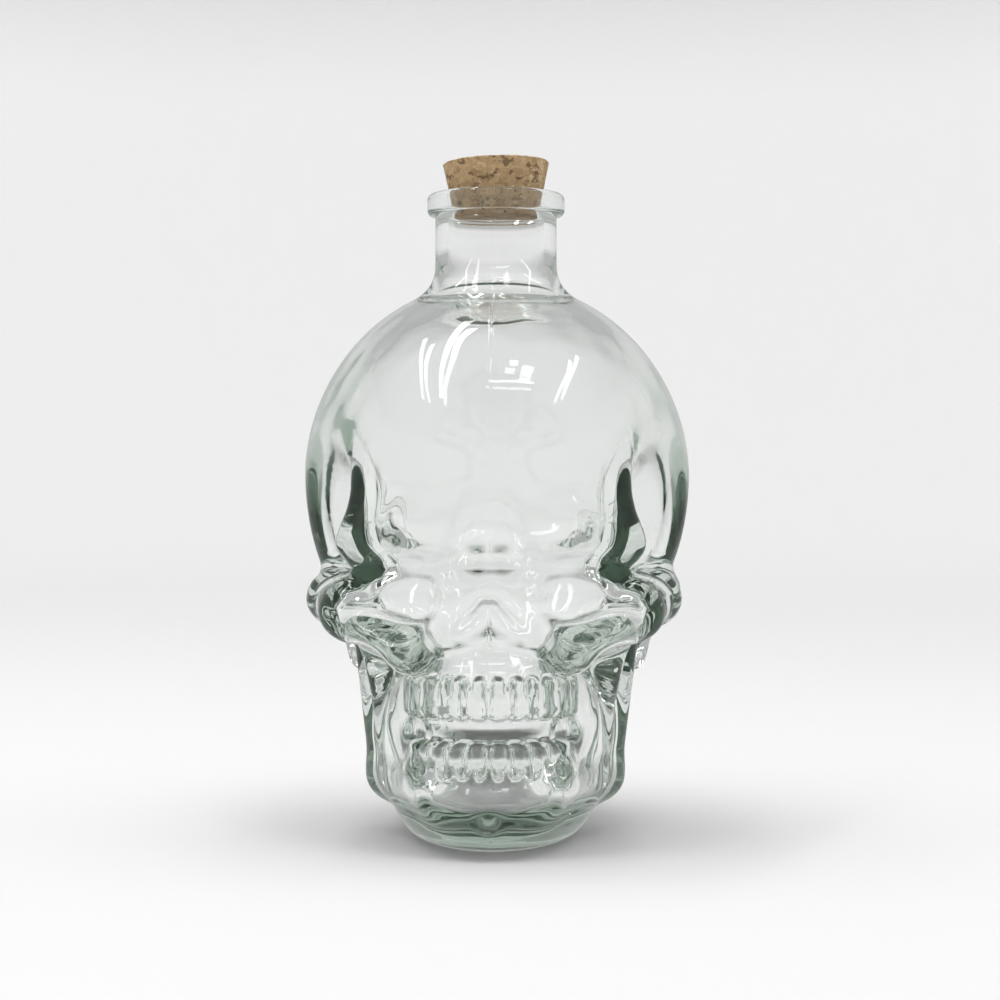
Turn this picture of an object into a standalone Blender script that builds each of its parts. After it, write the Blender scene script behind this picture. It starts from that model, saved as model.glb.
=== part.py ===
"""A glass bottle moulded as a human skull, closed by a tapered cork.

The glass is one hollow piece. It is made here the way the glassworks makes it:
a turned blank with its finished neck and lip is blown out against a mould, and
the inner skin stops one wall thickness short of it. The mould is a distance
field: rounded bone forms that run softly into each other, less rounded hollows.

Metres, +Z up, the face looks along -Y. The origin is on the neck's axis, on the
surface that the bottle stands on.
"""

import math

import bmesh
import bpy
import numpy as np

# Skull, outside
SKULL_WIDTH = 0.094
SKULL_DEPTH = 0.115
SKULL_HEIGHT = 0.1315

# Glass walls
WALL = 0.0036
THINNEST_WALL = 0.0028
BASE_THICKNESS = 0.009
BASE_EDGE_ROUNDING = 0.003
CAVITY_SOFTNESS = 0.004
CAVITY_BLUR = 0.005

# Neck and lip
BORE_RADIUS = 0.0117
NECK_WALL = 0.0029
NECK_LENGTH = 0.0209
LIP_OVERHANG = 0.0019
LIP_HEIGHT = 0.0050
LIP_ROUNDING = 0.0012
MOUTH_ROUNDING = 0.0009
SHOULDER_FILLET = 0.006
BORE_FILLET = 0.004

# Cork
CORK_CLEARANCE = 0.0003
CORK_ABOVE_MOUTH = 0.0083
CORK_BELOW_MOUTH = 0.0050
CORK_TAPER = math.radians(10.5)
CORK_CHAMFER = 0.0005

# Teeth
TEETH_PER_SIDE = 6
TOOTH_HALF_WIDTH = 0.0024
TOOTH_ROOT_HALF_WIDTH = 0.0017
TOOTH_STAND_OUT = 0.0015
TOOTH_SOFTNESS = 0.0008

# Mesh fineness
CORK_COLUMNS = 48
CORNER_STEPS = 2
MERGE_DISTANCE = 1e-6

# Blowing: the blank's radius as a share of the neck's, how many strides the skin
# takes from outside to the wall, and how far of the distance to it each one goes
BLANK_SHARE = 0.2
MARCH_STEPS = 90
MARCH_STRIDE_SHARE = 0.8
SMALLEST_SHARE = 1e-6

NECK_RADIUS = BORE_RADIUS + NECK_WALL
LIP_RADIUS = NECK_RADIUS + LIP_OVERHANG
MOUTH_HEIGHT = SKULL_HEIGHT + NECK_LENGTH
HALF_WIDTH = SKULL_WIDTH / 2
HALF_DEPTH = SKULL_DEPTH / 2
SKULL_SCALE = np.array([HALF_WIDTH, HALF_DEPTH, SKULL_HEIGHT])

# Places and sizes below are shares of the skull's half width, half depth and
# height, in that order. Radii of bars and all softness are shares of the half
# width alone. Every form is mirrored in the middle plane.

# The skull's forms in the order they are sculpted: name, what is done, softness,
# shape. An egg has a centre, half-sizes, the height of its lower half and its
# squareness, 2 being round; a bar has its first end, the radius there, its last
# end and the radius there.
FORM_SHARES = (
    ("braincase", "add", 0, "egg", (0, 0.14, 0.642), (1.00, 0.86, 0.358), 0.400, 2),
    ("forehead", "add", 0.30, "egg", (0, -0.200, 0.620), (0.725, 0.745, 0.320), 0.180, 2.4),
    ("upper_face", "add", 0.06, "egg", (0, -0.174, 0.430), (0.80, 0.71, 0.110), 0.130, 2.5),
    ("temple", "cut", 0.16, "egg", (1.10, -0.440, 0.575), (0.53, 0.42, 0.125), 0.150, 2),
    ("muzzle", "add", 0.10, "egg", (0, -0.470, 0.262), (0.404, 0.42, 0.130), 0.130, 2),
    ("jaw_core", "add", 0.12, "egg", (0, -0.20, 0.190), (0.60, 0.50, 0.210), 0.190, 2),
    ("foot", "add", 0.06, "egg", (0, -0.105, 0.100), (0.535, 0.80, 0.100), 0.148, 2),
    ("nape", "add", 0.25, "egg", (0, 0.24, 0.190), (0.50, 0.38, 0.260), 0.260, 2),
    ("chin", "add", 0.06, "egg", (0, -0.70, 0.085), (0.33, 0.200, 0.055), 0.040, 2.2),
    ("jaw_body", "add", 0.06, "bar", (0.250, -0.72, 0.125), 0.13, (0.51, -0.10, 0.108), 0.130),
    ("jaw_line_front", "add", 0.03, "bar", (0, -0.880, 0.070), 0.050, (0.34, -0.760, 0.150), 0.050),
    ("jaw_line_side", "add", 0.07, "bar", (0.34, -0.760, 0.150), 0.05, (0.42, -0.620, 0.270), 0.045),
    ("jaw_line_back", "add", 0.05, "bar", (0.34, -0.740, 0.150), 0.06, (0.47, -0.360, 0.230), 0.080),
    ("jaw_branch", "add", 0.08, "bar", (0.51, -0.10, 0.108), 0.130, (0.604, 0, 0.354), 0.128),
    ("branch_edge", "add", 0.06, "bar", (0.447, -0.313, 0.17), 0.106, (0.56, -0.26, 0.338), 0.106),
    ("cheekbone", "add", 0.10, "bar", (0.426, -0.78, 0.346), 0.118, (0.690, -0.574, 0.410), 0.125),
    ("cheek_wing", "add", 0.08, "bar", (0.690, -0.574, 0.410), 0.125, (0.798, -0.296, 0.427), 0.118),
    ("cheek_arch", "add", 0.08, "bar", (0.798, -0.296, 0.427), 0.118, (0.872, 0.14, 0.437), 0.085),
    ("mastoid", "add", 0.10, "bar", (0.726, 0.19, 0.385), 0.106, (0.69, 0.157, 0.315), 0.090),
    ("brow_inner", "add", 0.12, "bar", (0.14, -0.83, 0.597), 0.100, (0.36, -0.81, 0.556), 0.100),
    ("brow_outer", "add", 0.12, "bar", (0.36, -0.81, 0.556), 0.100, (0.65, -0.65, 0.530), 0.075),
    ("temple_ridge", "add", 0.06, "bar", (0.65, -0.48, 0.710), 0.045, (0.585, -0.63, 0.640), 0.065),
    ("ridge_foot", "add", 0.06, "bar", (0.585, -0.63, 0.640), 0.065, (0.65, -0.65, 0.530), 0.075),
    ("eye_socket", "cut", 0.08, "egg", (0.478, -0.90, 0.440), (0.250, 0.23, 0.068), 0.065, 2.2),
    ("under_brow", "cut", 0.02, "bar", (0.22, -0.955, 0.472), 0.130, (0.70, -0.83, 0.458), 0.120),
    ("brow_notch", "cut", 0.02, "bar", (0.03, -0.975, 0.543), 0.130, (0.17, -0.965, 0.487), 0.130),
    ("nose_bridge", "add", 0.06, "bar", (0, -0.80, 0.555), 0.110, (0, -0.79, 0.420), 0.160),
    ("nose", "cut", 0.03, "bar", (0.01, -0.91, 0.415), 0.052, (0.110, -0.89, 0.355), 0.092),
    ("cheek", "cut", 0.09, "egg", (0.610, -0.73, 0.244), (0.20, 0.36, 0.105), 0.120, 2),
)

# Forms that are solid glass: the cavity doesn't reach into them
SOLID_FORMS = (
    "cheekbone",
    "cheek_wing",
    "cheek_arch",
    "mastoid",
    "brow_inner",
    "brow_outer",
    "temple_ridge",
    "ridge_foot",
    "chin",
    "jaw_line_front",
    "jaw_line_side",
    "jaw_line_back",
    "branch_edge",
)

# Tooth rows: arch centre along Y, arch half width and half depth, and the heights
# of the teeth's wide cutting edges and of their narrower roots
UPPER_ARCH_SHARES = (-0.609, 0.394, 0.296, 0.252, 0.294)
LOWER_ARCH_SHARES = (-0.609, 0.372, 0.278, 0.178, 0.150)
BITE_HEIGHT_SHARE = 0.214
BITE_RADIUS_SHARE = 0.05
BITE_SOFTNESS_SHARE = 0.05

# How far round its arch the row of teeth goes, from the middle to the arch's edge
TEETH_SPREAD_SHARE = 0.94

# Columns of one side past the teeth: turn from the middle of the face, how many
# columns lead up to it
SIDE_COLUMN_FAN = (
    (math.radians(50), 8),
    (math.radians(90), 8),
    (math.radians(180), 9),
)

# The crown is blown from one point of the axis. The steepest directions from it
# end at the root of the neck, outside, and of the bore, inside.
CROWN_START_SHARE = 0.64
CROWN_RISE = (1 - CROWN_START_SHARE) * SKULL_HEIGHT
NECK_ROOT_SLOPE = math.degrees(math.atan2(CROWN_RISE, NECK_RADIUS))
BORE_ROOT_SLOPE = math.degrees(math.atan2(CROWN_RISE - WALL, BORE_RADIUS + BORE_FILLET / 2))

# Rings of the blank, from the base up: how high on the axis each blowing
# direction starts, its slope in degrees, and how many rings lead up to it
OUTER_FAN_SHARES = (
    (0.12, -90, 0),
    (0.12, -30, 5),
    (0.13, -4, 4),
    (0.30, 0, 10),
    (0.54, 3, 14),
    (CROWN_START_SHARE, 22, 4),
    (CROWN_START_SHARE, NECK_ROOT_SLOPE, 7),
    (1.02, 0, 1),
)
INNER_FAN_SHARES = (
    (1.05, 0, 0),
    (CROWN_START_SHARE, BORE_ROOT_SLOPE, 1),
    (CROWN_START_SHARE, 22, 3),
    (0.36, 0, 5),
    (0.20, -20, 3),
    (0.20, -90, 3),
)

# The teeth's patch of the blank, whose faces are halved both ways: its first and
# last ring, and how far past the last tooth a column still belongs to it
FINE_RINGS = (9, 19)
COLUMN_TOLERANCE = math.radians(0.5)


def egg_distance(points, centre, sizes, lower_height, squareness):
    """Signed distance to an egg, which is as square in section as it is told to be."""
    offset = np.abs(points - centre)
    radii = np.tile(sizes, (len(points), 1))
    radii[points[:, 2] < centre[2], 2] = lower_height
    shares = np.maximum(offset / radii, SMALLEST_SHARE)
    size = np.sum(shares**squareness, axis=1) ** (1 / squareness)
    steepness = np.linalg.norm((shares / size[:, None]) ** (squareness - 1) / radii, axis=1)
    return (size - 1) / steepness


def bar_distance(points, start, start_radius, end, end_radius):
    """Signed distance to a round bar that tapers from one end to the other."""
    axis = end - start
    along = np.clip((points - start) @ axis / (axis @ axis), 0, 1)
    nearest = start + along[:, None] * axis
    radius = start_radius + along * (end_radius - start_radius)
    return np.linalg.norm(points - nearest, axis=1) - radius


def join(first, second, softness):
    """The union of two distances, with a fillet of about this softness."""
    if softness <= 0:
        return np.minimum(first, second)
    mix = np.clip(0.5 + 0.5 * (second - first) / softness, 0, 1)
    return second + (first - second) * mix - softness * mix * (1 - mix)


def cut(body, tool, softness):
    """The body less the tool, with its edge rounded by about this softness."""
    return -join(-body, tool, softness)


def place(shares):
    """A point or a set of half-sizes from its shares of the skull's sizes."""
    return np.array(shares) * SKULL_SCALE


def arch_sizes(arch_shares):
    """A tooth arch's centre along Y, half width and half depth."""
    centre_y, half_width, half_depth, *_ = arch_shares
    return centre_y * HALF_DEPTH, half_width * HALF_WIDTH, half_depth * HALF_DEPTH


def tooth_pitch():
    """The turn from one tooth to the next, as both rows have it, seen from the axis."""
    centre_y, half_width, half_depth = arch_sizes(LOWER_ARCH_SHARES)
    edge_turn = math.atan2(half_width, math.sqrt(centre_y**2 - half_depth**2))
    return edge_turn * TEETH_SPREAD_SHARE / TEETH_PER_SIDE


def column_fan():
    """Columns of one side. At the teeth they run down the crowns and the gaps in turn."""
    return ((0, 0), (TEETH_PER_SIDE * tooth_pitch(), 2 * TEETH_PER_SIDE), *SIDE_COLUMN_FAN)


def arch_point(arch_shares, turn, inset, height_share):
    """The point of a tooth arch that lies in this direction from the bottle's axis."""
    centre_y, half_width, half_depth = arch_sizes(arch_shares)
    across = math.sin(turn) / (half_width - inset)
    along = -math.cos(turn) / (half_depth - inset)
    offset = centre_y / (half_depth - inset)
    steep = across**2 + along**2
    reach = (along * offset + math.sqrt(steep - (across * offset) ** 2)) / steep
    return np.array([reach * math.sin(turn), -reach * math.cos(turn), height_share * SKULL_HEIGHT])


def tooth_row_distance(points, arch_shares):
    """Distance to the teeth of one jaw, each an upright bar that narrows to its root."""
    edge_height, root_height = arch_shares[3:]
    distance = np.full(len(points), np.inf)
    for number in range(TEETH_PER_SIDE):
        turn = tooth_pitch() * (number + 0.5)
        edge = arch_point(arch_shares, turn, TOOTH_HALF_WIDTH - TOOTH_STAND_OUT, edge_height)
        root = arch_point(arch_shares, turn, TOOTH_ROOT_HALF_WIDTH - TOOTH_STAND_OUT, root_height)
        tooth = bar_distance(points, edge, TOOTH_HALF_WIDTH, root, TOOTH_ROOT_HALF_WIDTH)
        distance = join(distance, tooth, 0)
    return distance


def bite_distance(points):
    """Distance to the groove between the two rows of teeth, a bent round bar."""
    radius = BITE_RADIUS_SHARE * HALF_WIDTH
    distance = np.full(len(points), np.inf)
    ends = [
        arch_point(UPPER_ARCH_SHARES, tooth_pitch() * number, 0, BITE_HEIGHT_SHARE)
        for number in range(TEETH_PER_SIDE + 1)
    ]
    for start, end in zip(ends, ends[1:]):
        distance = join(distance, bar_distance(points, start, radius, end, radius), 0)
    return distance


def skull_distance(points, keel_rounding=0, fine=True):
    """Signed distance to the mould's wall, without the neck and the flat base.

    The keel rounding smooths the line where the two mirrored halves meet.
    """
    points = np.column_stack([np.hypot(points[:, 0], keel_rounding), points[:, 1:]])
    distance = None
    for name, action, softness, shape, *sizes in FORM_SHARES:
        if name in SOLID_FORMS and not fine:
            continue
        if shape == "egg":
            centre, half_sizes, lower_height, squareness = sizes
            form = egg_distance(
                points, place(centre), place(half_sizes), lower_height * SKULL_HEIGHT, squareness
            )
        else:
            start, start_radius, end, end_radius = sizes
            form = bar_distance(
                points, place(start), start_radius * HALF_WIDTH, place(end), end_radius * HALF_WIDTH
            )
        combine = join if action == "add" else cut
        distance = form if distance is None else combine(distance, form, softness * HALF_WIDTH)
    if fine:
        distance = cut(distance, bite_distance(points), BITE_SOFTNESS_SHARE * HALF_WIDTH)
        for arch_shares in (UPPER_ARCH_SHARES, LOWER_ARCH_SHARES):
            distance = join(distance, tooth_row_distance(points, arch_shares), TOOTH_SOFTNESS)
    return distance


def outside_distance(points):
    """Signed distance to the whole outside: skull, neck and flat base."""
    distance = skull_distance(points)
    neck = np.hypot(points[:, 0], points[:, 1]) - NECK_RADIUS
    neck = np.maximum(neck, SKULL_HEIGHT / 2 - points[:, 2])
    distance = join(distance, neck, SHOULDER_FILLET)
    return cut(distance, points[:, 2], BASE_EDGE_ROUNDING)


def inside_distance(points):
    """Signed distance to the cavity, which is blurred as blown glass is, and the bore.

    The cavity lies one wall inside the skull's distance averaged over six near
    places, and nowhere nearer to the outside than the thinnest wall.
    """
    shifts = CAVITY_BLUR * np.vstack([np.eye(3), -np.eye(3)])
    blurred = np.mean([skull_distance(points + shift, CAVITY_BLUR, fine=False) for shift in shifts], axis=0)
    distance = cut(blurred + WALL, -skull_distance(points) - THINNEST_WALL, CAVITY_SOFTNESS)
    distance = cut(distance, points[:, 2] - BASE_THICKNESS, CAVITY_SOFTNESS)
    bore = np.hypot(points[:, 0], points[:, 1]) - BORE_RADIUS
    bore = np.maximum(bore, SKULL_HEIGHT / 2 - points[:, 2])
    return join(distance, bore, BORE_FILLET)


def fan(stations):
    """The start height on the axis and the slope of every ring's blowing direction."""
    rays = []
    for (low, low_slope, _), (high, high_slope, rings) in zip(stations, stations[1:]):
        for ring in range(rings):
            share = ring / rings
            height = low + (high - low) * share
            slope = low_slope + (high_slope - low_slope) * share
            rays.append((height * SKULL_HEIGHT, math.radians(slope)))
    last_height, last_slope, _ = stations[-1]
    rays.append((last_height * SKULL_HEIGHT, math.radians(last_slope)))
    return rays


def rounded_corner(centre_r, centre_z, radius, from_turn, to_turn):
    """Points of a quarter round in the profile's plane, first and last included."""
    turns = np.linspace(math.radians(from_turn), math.radians(to_turn), CORNER_STEPS + 1)
    return [(centre_r + radius * math.cos(a), centre_z + radius * math.sin(a)) for a in turns]


def lip_profile():
    """The lip's turned outline, from the neck below it, over the top and into the bore."""
    lip_bottom = MOUTH_HEIGHT - LIP_HEIGHT
    outer = LIP_RADIUS - LIP_ROUNDING
    points = [(NECK_RADIUS, lip_bottom)]
    points += rounded_corner(outer, lip_bottom + LIP_ROUNDING, LIP_ROUNDING, -90, 0)
    points += rounded_corner(outer, MOUTH_HEIGHT - LIP_ROUNDING, LIP_ROUNDING, 0, 90)
    points += rounded_corner(
        BORE_RADIUS + MOUTH_ROUNDING, MOUTH_HEIGHT - MOUTH_ROUNDING, MOUTH_ROUNDING, 90, 180
    )
    return points


def spin_blank(profile):
    """Turns the profile round the neck's axis. Each vertex keeps its place in the profile."""
    blank = bmesh.new()
    place_in_profile = blank.verts.layers.float.new("place_in_profile")
    verts = [blank.verts.new((0, -radius, height)) for radius, height in profile]
    for number, vert in enumerate(verts):
        vert[place_in_profile] = number
    edges = [blank.edges.new(pair) for pair in zip(verts, verts[1:])]
    bmesh.ops.spin(
        blank,
        geom=verts + edges,
        cent=(0, 0, 0),
        axis=(0, 0, 1),
        angle=2 * math.pi,
        steps=2 * sum(columns for _, columns in column_fan()),
        use_merge=True,
    )
    bmesh.ops.remove_doubles(blank, verts=blank.verts, dist=MERGE_DISTANCE)
    refine_teeth(blank, place_in_profile)
    bmesh.ops.recalc_face_normals(blank, faces=blank.faces)
    return blank, place_in_profile


def refine_teeth(blank, place_in_profile):
    """Halves the faces where the teeth will stand, both ways."""
    lowest, highest = FINE_RINGS
    widest = TEETH_PER_SIDE * tooth_pitch() + COLUMN_TOLERANCE
    patch = [
        vert
        for vert in blank.verts
        if lowest <= vert[place_in_profile] <= highest
        and abs(crowd_to_face(np.arctan2(vert.co.x, -vert.co.y))) < widest
    ]
    inside = set(patch)
    edges = [edge for edge in blank.edges if inside.issuperset(edge.verts)]
    bmesh.ops.subdivide_edges(blank, edges=edges, cuts=1, use_grid_fill=True)


def crowd_to_face(turns):
    """Turns from the face's middle, drawn together at the face as the table of columns says."""
    table = [turn for turn, _ in column_fan()]
    columns = np.cumsum([columns for _, columns in column_fan()])
    return np.sign(turns) * np.interp(np.abs(turns) / math.pi * columns[-1], columns, table)


def blow(distance_to_wall, heights, slopes, turns):
    """Where directions that leave the axis first meet a wall, seen from outside it."""
    flat = np.cos(slopes)
    directions = np.column_stack([flat * np.sin(turns), -flat * np.cos(turns), np.sin(slopes)])
    origins = np.column_stack([heights * 0, heights * 0, heights])
    reach = np.full(len(heights), SKULL_HEIGHT)
    for _ in range(MARCH_STEPS):
        reach = reach - MARCH_STRIDE_SHARE * distance_to_wall(origins + reach[:, None] * directions)
        reach = np.maximum(reach, 0)
    return origins + reach[:, None] * directions


def make_glass():
    """The bottle: a turned blank, blown out on both skins."""
    outer_rays = fan(OUTER_FAN_SHARES)
    inner_rays = fan(INNER_FAN_SHARES)
    lip = lip_profile()
    outer_blank = BLANK_SHARE * NECK_RADIUS
    inner_blank = outer_blank * BLANK_SHARE
    profile = [(outer_blank * math.cos(s), h + outer_blank * math.sin(s)) for h, s in outer_rays]
    profile += lip
    profile += [(inner_blank * math.cos(s), h + inner_blank * math.sin(s)) for h, s in inner_rays]
    blank, place_in_profile = spin_blank(profile)

    places = np.array([vert[place_in_profile] for vert in blank.verts])
    corners = np.array([vert.co for vert in blank.verts])
    turns = crowd_to_face(np.arctan2(corners[:, 0], -corners[:, 1]))
    rays = np.array(outer_rays + [(0, 0)] * len(lip) + inner_rays)
    heights = np.interp(places, np.arange(len(profile)), rays[:, 0])
    slopes = np.interp(places, np.arange(len(profile)), rays[:, 1])
    radii = np.interp(places, np.arange(len(profile)), [radius for radius, _ in profile])
    final = np.column_stack([radii * np.sin(turns), -radii * np.cos(turns), corners[:, 2]])
    is_outer = places < len(outer_rays)
    is_inner = places >= len(outer_rays) + len(lip)
    for chosen, distance in ((is_outer, outside_distance), (is_inner, inside_distance)):
        final[chosen] = blow(distance, heights[chosen], slopes[chosen], turns[chosen])
    for vert, corner in zip(blank.verts, final):
        vert.co = corner
    bmesh.ops.recalc_face_normals(blank, faces=blank.faces)
    mesh = bpy.data.meshes.new("glass_bottle")
    blank.to_mesh(mesh)
    blank.free()
    mesh.shade_smooth()
    return bpy.data.objects.new("glass_bottle", mesh)


def make_cork():
    """The cork: a turned plug that tapers down into the mouth."""
    top = CORK_ABOVE_MOUTH
    bottom = -CORK_BELOW_MOUTH
    at_mouth = BORE_RADIUS - CORK_CLEARANCE
    slope = math.tan(CORK_TAPER)
    top_radius = at_mouth + top * slope
    bottom_radius = at_mouth + bottom * slope
    outline = [
        (0, top),
        (top_radius - CORK_CHAMFER, top),
        (top_radius, top - CORK_CHAMFER),
        (bottom_radius, bottom + CORK_CHAMFER),
        (bottom_radius - CORK_CHAMFER, bottom),
        (0, bottom),
    ]
    mesh = bpy.data.meshes.new("cork_stopper")
    edges = [(number, number + 1) for number in range(len(outline) - 1)]
    mesh.from_pydata([(radius, 0, height) for radius, height in outline], edges, [])
    cork = bpy.data.objects.new("cork_stopper", mesh)
    cork.location.z = MOUTH_HEIGHT
    turned = cork.modifiers.new("turned", "SCREW")
    turned.steps = CORK_COLUMNS
    turned.render_steps = CORK_COLUMNS
    turned.use_merge_vertices = True
    turned.merge_threshold = MERGE_DISTANCE
    turned.use_smooth_shade = True
    return cork


def make_material(name, colour, roughness, transmission=0):
    """A Principled BSDF material."""
    material = bpy.data.materials.new(name)
    material.use_nodes = True
    shader = material.node_tree.nodes["Principled BSDF"]
    shader.inputs["Base Color"].default_value = (*colour, 1)
    shader.inputs["Roughness"].default_value = roughness
    shader.inputs["Metallic"].default_value = 0
    shader.inputs["Transmission Weight"].default_value = transmission
    return material


def main():
    for old in list(bpy.data.objects):
        bpy.data.objects.remove(old)
    collection = bpy.data.collections.new("skull_bottle")
    bpy.context.scene.collection.children.link(collection)

    glass = make_glass()
    glass.data.materials.append(make_material("clear_glass", (0.86, 0.91, 0.88), 0.02, 1))
    cork = make_cork()
    cork.data.materials.append(make_material("cork", (0.52, 0.35, 0.20), 0.9))
    for piece in (glass, cork):
        collection.objects.link(piece)


main()
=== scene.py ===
"""Skull bottle: the looks of a clear glass bottle moulded as a human skull, and of its cork.

Metres, +Z up, the face looks along -Y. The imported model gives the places; the glass is
blown here as in the model, from the same forms, with a finer skin.
"""

import math

import bmesh
import bpy
import numpy as np
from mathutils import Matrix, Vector, noise


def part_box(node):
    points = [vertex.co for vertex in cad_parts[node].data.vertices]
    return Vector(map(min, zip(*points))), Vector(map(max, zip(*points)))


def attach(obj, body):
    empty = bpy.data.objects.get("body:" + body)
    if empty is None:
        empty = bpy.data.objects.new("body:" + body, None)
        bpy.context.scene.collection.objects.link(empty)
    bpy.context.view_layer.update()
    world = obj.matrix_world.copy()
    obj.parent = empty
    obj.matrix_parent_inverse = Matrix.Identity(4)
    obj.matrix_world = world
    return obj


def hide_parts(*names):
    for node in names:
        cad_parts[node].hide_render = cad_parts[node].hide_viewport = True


bl_info = {
    "name": "Skull bottle",
    "version": (1, 0, 0),
    "blender": (4, 5, 0),
    "location": "View3D > Sidebar > Skull bottle",
    "description": "Makes a glass skull bottle, its cork and the table it stands on",
    "category": "Add Mesh",
}

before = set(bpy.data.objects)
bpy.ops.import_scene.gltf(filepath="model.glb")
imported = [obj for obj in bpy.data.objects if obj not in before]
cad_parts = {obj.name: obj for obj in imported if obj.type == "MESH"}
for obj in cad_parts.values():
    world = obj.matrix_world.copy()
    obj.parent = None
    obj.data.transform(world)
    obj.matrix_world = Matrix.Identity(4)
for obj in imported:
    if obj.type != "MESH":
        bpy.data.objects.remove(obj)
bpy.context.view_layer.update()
GLASS_LOW, GLASS_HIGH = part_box("glass_bottle")
CORK_LOW, CORK_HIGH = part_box("cork_stopper")

# How far inside the model's box the finer skin stays, which leaves room for the mould seam
SKIN_INSET = 0.00012

# Skull, outside
SKULL_WIDTH = GLASS_HIGH.x - GLASS_LOW.x - 2 * SKIN_INSET
SKULL_DEPTH = 2 * (GLASS_HIGH.y - SKIN_INSET)
SKULL_HEIGHT = 0.1315

# Glass walls. The cavity follows the skull's forms blurred over this distance.
THINNEST_WALL = 0.0025
BASE_THICKNESS = 0.009
BASE_EDGE_ROUNDING = 0.003
CAVITY_SOFTNESS = 0.004
CAVITY_BLUR = 0.0035

# The glass is thicker at the sides of the braincase: by how much, how fast that
# grows from the middle to the side, and between which heights it sets in
SIDE_WALL_EXTRA = 0.0036
SIDE_WALL_POWER = 4
SIDE_WALL_FROM = 0.070
SIDE_WALL_FULL = 0.095

# Neck and lip. The neck and the bore go down into the skull as far as the root.
NECK_RADIUS = 0.0146
NECK_ROOT_HEIGHT = SKULL_HEIGHT / 2
BORE_RADIUS = 0.0117
MOUTH_HEIGHT = GLASS_HIGH.z
LIP_RADIUS = 0.0165
LIP_HEIGHT = 0.0050
LIP_ROUNDING = 0.0012
MOUTH_ROUNDING = 0.0009
SHOULDER_FILLET = 0.006
BORE_FILLET = 0.003

# Faint waves that blowing leaves in both skins: plane waves, in radians per metre,
# and how high their sum stands outside and inside
WAVES = ((520, 310, 180), (-270, 470, 390), (230, -360, 610), (-410, -290, 330))
OUTER_WAVE_HEIGHT = 0.000004
INNER_WAVE_HEIGHT = 0.00001

# Mould seam on the middle plane
SEAM_HALF_WIDTH = 0.00025

# Cork
CORK_CLEARANCE = 0.0003
CORK_TAPER = math.radians(10.5)
CORK_CHAMFER = 0.0005
CORK_COLUMNS = 240
CORK_RINGS = 72
CORK_TOP_RINGS = 40

# Cork skin: small bumps, wider dents, and how much lower the top is at its left edge
CORK_BUMP_FINENESS = 900
CORK_BUMP_RELIEF = 0.00018
CORK_DENT_FINENESS = 260
CORK_DENT_RELIEF = 0.00018
CORK_TOP_SLOPE = 0.0007

# Teeth
TEETH_PER_SIDE = 6
TOOTH_HALF_WIDTH = 0.0024
TOOTH_ROOT_HALF_WIDTH = 0.0017
TOOTH_PITCH = math.radians(4.6)
TOOTH_STAND_OUT = 0.0015
TOOTH_SOFTNESS = 0.0008

# Blowing: the blank's radius as a share of the neck's, how many strides the skin
# takes from outside to the wall, how far of the distance to it each one goes, and
# how near to the wall a point counts as there
BLANK_SHARE = 0.2
MARCH_STEPS = 160
MARCH_STRIDE_SHARE = 0.8
MARCH_NEAR = 2e-6

# Nearer to an egg's middle plane than this share, a point counts as this far from it
SMALLEST_SHARE = 1e-6

# Spinning: how near to each other two vertices are one, and the layer that says
# which point of its profile a vertex comes from
MERGE_DISTANCE = 1e-6
PLACE_LAYER = "place_in_profile"

HALF_WIDTH = SKULL_WIDTH / 2
HALF_DEPTH = SKULL_DEPTH / 2
SKULL_SCALE = np.array([HALF_WIDTH, HALF_DEPTH, SKULL_HEIGHT])

# Places and sizes below are shares of the skull's half width, half depth and
# height, in that order. Radii of bars and all softness are shares of the half
# width alone. Every form is mirrored in the middle plane.

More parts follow.
